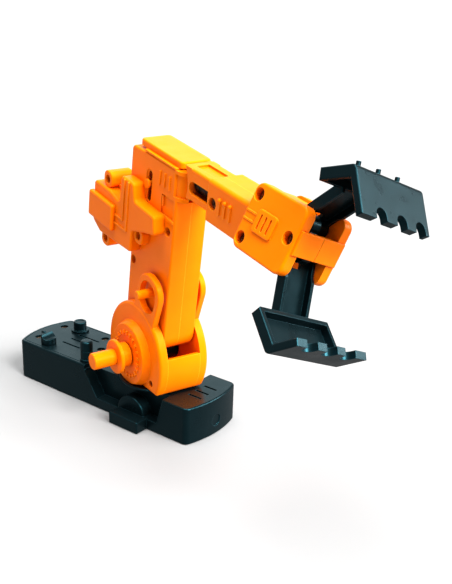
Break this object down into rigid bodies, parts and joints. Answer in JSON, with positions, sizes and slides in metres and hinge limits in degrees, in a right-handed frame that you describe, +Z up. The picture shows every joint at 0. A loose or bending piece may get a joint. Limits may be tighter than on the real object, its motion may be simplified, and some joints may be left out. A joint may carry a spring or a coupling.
{
  "type": "toy hydraulic robot arm",
  "caption": "Desktop hydraulic robot arm kit with a knobbed base, turning yoke, leaning column, pivoting forearm, rolling wrist and two-jaw gripper.",
  "frame": {"origin": "middle of the base's underside, on the surface it stands on", "axes": "+Z up, +X along the base towards the turret end, +Y towards the back, away from the dial side of the yoke"},
  "size_m": [0.3373, 0.1434, 0.226],
  "materials": {
    "orange_plastic": "satin moulded plastic",
    "black_plastic": "satin moulded plastic",
    "steel": "zinc plated",
    "blackened_steel": "blackened",
    "rubber": "matt"
  },
  "bodies": {
    "base": {"base_shell": "black_plastic", "base_cover": "black_plastic", "rubber_feet": "rubber", "base_screws": "blackened_steel", "ballast_plate": "steel", "valve_manifold": "black_plastic", "turret_spindle": "black_plastic", "spindle_cap": "steel"},
    "knob_front": {"control_knob_front": "black_plastic"},
    "knob_back": {"control_knob_back": "black_plastic"},
    "selector": {"control_post": "black_plastic"},
    "turret": {"turntable_ring": "black_plastic", "yoke_shell": "orange_plastic", "yoke_cheek_near": "orange_plastic", "yoke_cheek_far": "orange_plastic", "cheek_screws": "blackened_steel", "dial_disc": "orange_plastic"},
    "column": {"shoulder_shaft": "orange_plastic", "shoulder_knob": "orange_plastic", "shaft_cap": "orange_plastic", "shoulder_hub": "black_plastic", "column_near": "orange_plastic", "column_far": "orange_plastic", "stop_peg": "orange_plastic", "column_screws": "blackened_steel", "head_cover": "orange_plastic", "cover_strip": "orange_plastic", "elbow_axle": "steel", "elbow_barrel": "black_plastic", "elbow_block": "orange_plastic", "elbow_pad": "orange_plastic", "block_screws": "blackened_steel"},
    "elbow_drive": {"elbow_ram": "steel", "crosshead_pin": "orange_plastic"},
    "forearm": {"forearm_channel": "orange_plastic", "sleeve_near": "orange_plastic", "sleeve_far": "orange_plastic", "forearm_screws": "blackened_steel", "grip_barrel": "black_plastic"},
    "gripper": {"wrist_shaft": "orange_plastic", "gripper_plate_near": "orange_plastic", "gripper_plate_far": "orange_plastic", "gripper_crossbar": "orange_plastic", "gripper_screws": "blackened_steel", "jaw_pins": "steel"},
    "grip_drive": {"grip_rod": "steel"},
    "upper_jaw": {"upper_claw": "black_plastic", "upper_gear": "black_plastic"},
    "lower_jaw": {"lower_claw": "black_plastic", "lower_gear": "black_plastic"}
  },
  "joints": [
    {"name": "turret_turn", "type": "hinge", "parent": "base", "child": "turret", "pos_m": [0.0345, 0, 0.03], "axis": [0, 0, 1], "range_deg": [-35, 75]},
    {"name": "shoulder_lean", "type": "hinge", "parent": "turret", "child": "column", "pos_m": [0.0345, 0, 0.0513], "axis": [0.3272, 0.9449, 0], "range_deg": [-5, 9]},
    {"name": "elbow_bend", "type": "hinge", "parent": "column", "child": "forearm", "pos_m": [0.06023, -0.00891, 0.18581], "axis": [0.3272, 0.9449, 0], "range_deg": [-25, 19]},
    {"name": "elbow_ram_slide", "type": "slide", "parent": "column", "child": "elbow_drive", "axis": [0.1331, -0.0461, 0.99], "range_m": [-0.0075, 0.0058]},
    {"name": "wrist_roll", "type": "hinge", "parent": "forearm", "child": "gripper", "pos_m": [0.15625, -0.04216, 0.17589], "axis": [0.9355, -0.324, -0.1409], "range_deg": [-90, 90]},
    {"name": "upper_jaw_swing", "type": "hinge", "parent": "gripper", "child": "upper_jaw", "pos_m": [0.18236, -0.04677, 0.18244], "axis": [0.2518, 0.8912, -0.3773], "range_deg": [-4, 35]},
    {"name": "lower_jaw_swing", "type": "hinge", "parent": "gripper", "child": "lower_jaw", "pos_m": [0.18303, -0.05276, 0.16871], "axis": [0.2518, 0.8912, -0.3773], "range_deg": [-35, 4]},
    {"name": "grip_rod_slide", "type": "slide", "parent": "gripper", "child": "grip_drive", "axis": [0.9355, -0.324, -0.1409], "range_m": [-0.0064, 0.0009]},
    {"name": "front_knob_turn", "type": "hinge", "parent": "base", "child": "knob_front", "pos_m": [-0.064, -0.0174, 0.03], "axis": [0, 0, 1], "range_deg": [-90, 90]},
    {"name": "back_knob_turn", "type": "hinge", "parent": "base", "child": "knob_back", "pos_m": [-0.063, 0.0166, 0.03], "axis": [0, 0, 1], "range_deg": [-90, 90]},
    {"name": "selector_turn", "type": "hinge", "parent": "base", "child": "selector", "pos_m": [-0.0188, -0.02, 0.03], "axis": [0, 0, 1], "range_deg": [-60, 60]}
  ],
  "couplings": [
    {"joint": "elbow_ram_slide", "follows": "elbow_bend", "m_per_rad": 0.01675},
    {"joint": "lower_jaw_swing", "follows": "upper_jaw_swing", "ratio": -1},
    {"joint": "grip_rod_slide", "follows": "upper_jaw_swing", "m_per_rad": -0.01}
  ]
}
